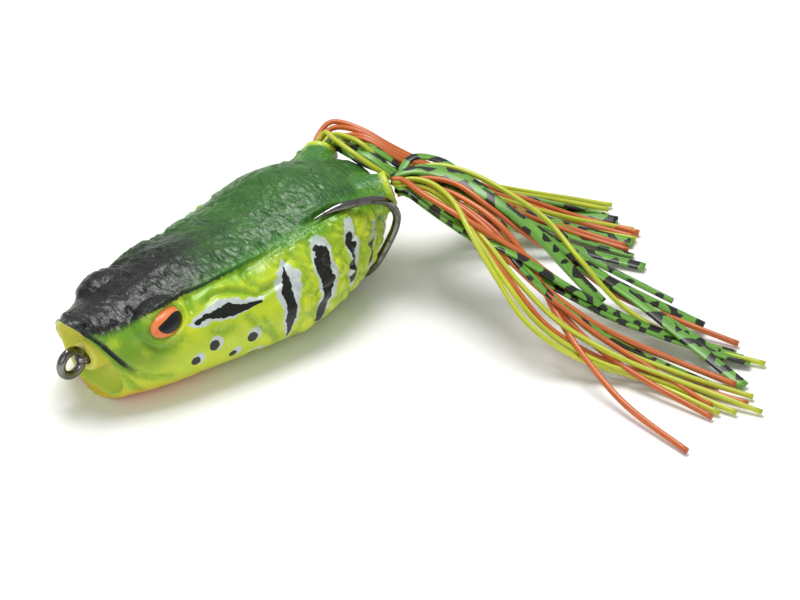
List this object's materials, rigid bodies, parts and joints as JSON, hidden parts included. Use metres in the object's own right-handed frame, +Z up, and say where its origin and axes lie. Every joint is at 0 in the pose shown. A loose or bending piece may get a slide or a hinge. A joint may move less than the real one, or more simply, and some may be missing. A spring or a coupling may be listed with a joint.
{
  "type": "topwater popper",
  "caption": "Hollow soft popping frog lure with a cupped mouth, a double hook, a keel weight and two strand legs.",
  "frame": {"origin": "on the surface that the belly rests on, under the middle of the body and hook", "axes": "+Z up, the nose towards -Y, the frog's left side towards +X"},
  "size_m": [0.0907, 0.105, 0.0206],
  "materials": {
    "soft_shell": "painted soft plastic, glossy",
    "hook_wire": "polished black nickel",
    "weight_metal": "dull as cast",
    "collar_rubber": "matt",
    "orange_strand": "satin silicone rubber",
    "chartreuse_strand": "satin silicone rubber",
    "barred_green_strand": "satin silicone rubber with black bars"
  },
  "bodies": {
    "body": {"body_shell": "soft_shell"},
    "hook": {"double_hook": "hook_wire", "keel_weight": "weight_metal"},
    "left_leg": {"left_skirt_collar": "collar_rubber", "left_strand_1": "barred_green_strand", "left_strand_2": "orange_strand", "left_strand_3": "chartreuse_strand", "left_strand_4": "barred_green_strand", "left_strand_5": "barred_green_strand", "left_strand_6": "orange_strand", "left_strand_7": "chartreuse_strand", "left_strand_8": "orange_strand"},
    "right_leg": {"right_skirt_collar": "collar_rubber", "right_strand_1": "chartreuse_strand", "right_strand_2": "barred_green_strand", "right_strand_3": "chartreuse_strand", "right_strand_4": "orange_strand", "right_strand_5": "orange_strand", "right_strand_6": "barred_green_strand", "right_strand_7": "barred_green_strand"}
  },
  "joints": [
    {"name": "hook_lift", "type": "hinge", "parent": "body", "child": "hook", "pos_m": [0, -0.02452, 0.0074], "axis": [1, 0, 0], "range_deg": [0, 2]},
    {"name": "left_leg_sway", "type": "hinge", "parent": "body", "child": "left_leg", "pos_m": [0.0076, 0.03002, 0.0162], "axis": [0, 0, 1], "range_deg": [-20, 18]},
    {"name": "right_leg_sway", "type": "hinge", "parent": "body", "child": "right_leg", "pos_m": [-0.0076, 0.03002, 0.0162], "axis": [0, 0, 1], "range_deg": [-4, 20]}
  ]
}
